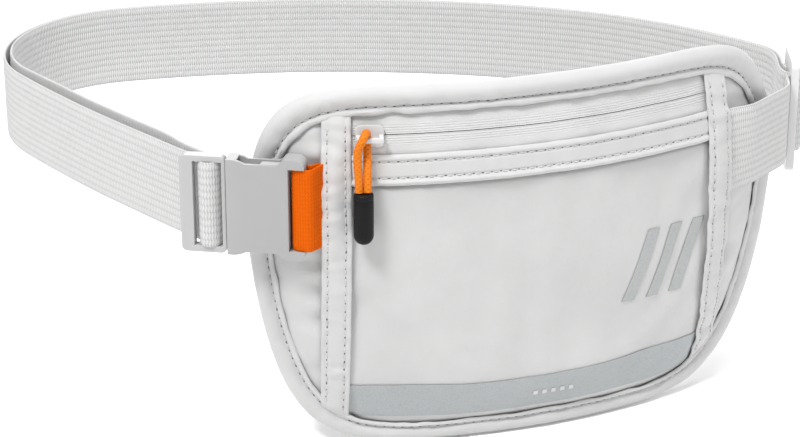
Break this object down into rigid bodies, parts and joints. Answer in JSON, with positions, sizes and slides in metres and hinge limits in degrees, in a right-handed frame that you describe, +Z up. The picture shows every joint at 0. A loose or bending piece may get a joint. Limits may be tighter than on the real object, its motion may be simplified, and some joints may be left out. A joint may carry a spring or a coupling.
{
  "type": "money belt",
  "caption": "Slim zipped waist pouch curved round the body on a ring of woven webbing, with a side-release buckle, a strap adjuster, a corded zip pull and a reflective strip.",
  "frame": {"origin": "in the middle of the waist opening, at the height of the centre line of the webbing", "axes": "+Z up as worn; -Y forwards, away from the wearer, where the pouch lies; +X to the wearer's left, the side of the strap adjuster"},
  "size_m": [0.2796, 0.2063, 0.1317],
  "materials": {
    "shell_fabric": "smooth matt polyester with a faint sheen",
    "shielding_film": "metallised signal-blocking lining",
    "webbing": "ribbed woven polypropylene webbing",
    "orange_webbing": "ribbed woven webbing",
    "orange_cord": "braided cord",
    "grey_plastic": "fine satin moulding",
    "pale_plastic": "satin moulding",
    "zip_plastic": "satin",
    "reflective_film": "grey retroreflective tape",
    "black_rubber": "satin"
  },
  "bodies": {
    "pouch": {"back_panel": "shell_fabric", "shielding_liner": "shielding_film", "front_panel": "shell_fabric", "left_side_panel": "shell_fabric", "left_seam_band": "shell_fabric", "right_side_panel": "shell_fabric", "right_seam_band": "shell_fabric", "zip_welt": "shell_fabric", "reflective_strip": "reflective_film", "edge_binding": "shell_fabric", "zip_tape_upper": "shell_fabric", "zip_tape_lower": "shell_fabric", "zip_coil_upper": "zip_plastic", "zip_coil_lower": "zip_plastic", "buckle_socket": "grey_plastic", "buckle_tab_webbing": "orange_webbing", "main_webbing_tab": "webbing", "main_webbing_threaded": "webbing", "main_webbing_right": "webbing", "return_webbing_adjust": "webbing", "return_webbing_right": "webbing"},
    "waist_strap": {"main_webbing_left": "webbing", "return_webbing_left": "webbing", "plug_webbing_wrap": "webbing", "buckle_plug": "grey_plastic"},
    "prong_upper": {"plug_prong_upper": "grey_plastic"},
    "prong_lower": {"plug_prong_lower": "grey_plastic"},
    "zip_slider": {"zip_slider": "zip_plastic"},
    "pull_cord": {"pull_cord": "orange_cord", "pull_cord_cap": "black_rubber"},
    "tri_glide": {"tri_glide": "pale_plastic", "return_webbing_end_loop": "webbing"}
  },
  "joints": [
    {"name": "buckle_opening", "type": "hinge", "parent": "pouch", "child": "waist_strap", "pos_m": [-0.00507, 0.07393, 0], "axis": [0, 0, -1], "range_deg": [0, 50]},
    {"name": "upper_prong_press", "type": "hinge", "parent": "waist_strap", "child": "prong_upper", "pos_m": [-0.10534, -0.08427, 0.0106], "axis": [0.4848, 0.8746, 0], "range_deg": [0, 7], "stiffness_Nm_per_rad": 0.3},
    {"name": "lower_prong_press", "type": "hinge", "parent": "waist_strap", "child": "prong_lower", "pos_m": [-0.10534, -0.08427, -0.0106], "axis": [-0.4848, -0.8746, 0], "range_deg": [0, 7], "stiffness_Nm_per_rad": 0.3},
    {"name": "zip_travel", "type": "hinge", "parent": "pouch", "child": "zip_slider", "pos_m": [0, 0.112, 0.0234], "axis": [0, 0, 1], "range_deg": [0, 31.5]},
    {"name": "pull_cord_swing", "type": "hinge", "parent": "zip_slider", "child": "pull_cord", "pos_m": [-0.06093, -0.10189, 0.0234], "axis": [-0.9617, 0.274, 0], "range_deg": [0, 90]},
    {"name": "strap_adjustment", "type": "slide", "parent": "pouch", "child": "tri_glide", "axis": [0.3665, 0.9304, 0], "range_m": [0, 0.007], "deforming": ["main_webbing_threaded", "return_webbing_adjust"]}
  ]
}
